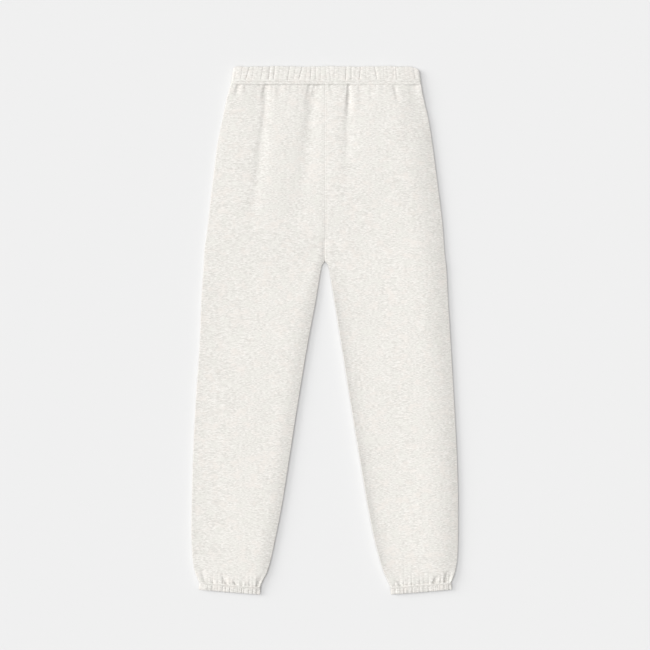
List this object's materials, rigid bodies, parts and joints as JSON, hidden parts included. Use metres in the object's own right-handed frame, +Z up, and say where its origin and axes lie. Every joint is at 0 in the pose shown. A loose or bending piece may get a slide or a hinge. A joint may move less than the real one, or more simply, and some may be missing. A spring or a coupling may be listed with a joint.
{
  "type": "jogger sweatpants",
  "caption": "Heavy fleece jogger trousers laid flat with the back up: two legs meet at a centre seam, with a gathered elastic waistband casing and gathered hem casings.",
  "frame": {"origin": "on the surface that the garment lies on, under the middle of its outline", "axes": "+X across the garment, to the right as it is seen from above with the waist away from the viewer; +Y from the hems to the waistband; +Z up from the surface, out of the garment's back"},
  "size_m": [0.533, 1.0568, 0.0121],
  "materials": {
    "fleece": "oatmeal heather brushed fleece, matte",
    "thread": "matching sewing thread, matte"
  },
  "bodies": {
    "root": {"back_panel_left": "fleece", "back_panel_right": "fleece", "front_panel_left": "fleece", "front_panel_right": "fleece", "waistband_back": "fleece", "waistband_front": "fleece", "cuff_left_back": "fleece", "cuff_left_front": "fleece", "cuff_right_back": "fleece", "cuff_right_front": "fleece"}
  },
  "joints": []
}
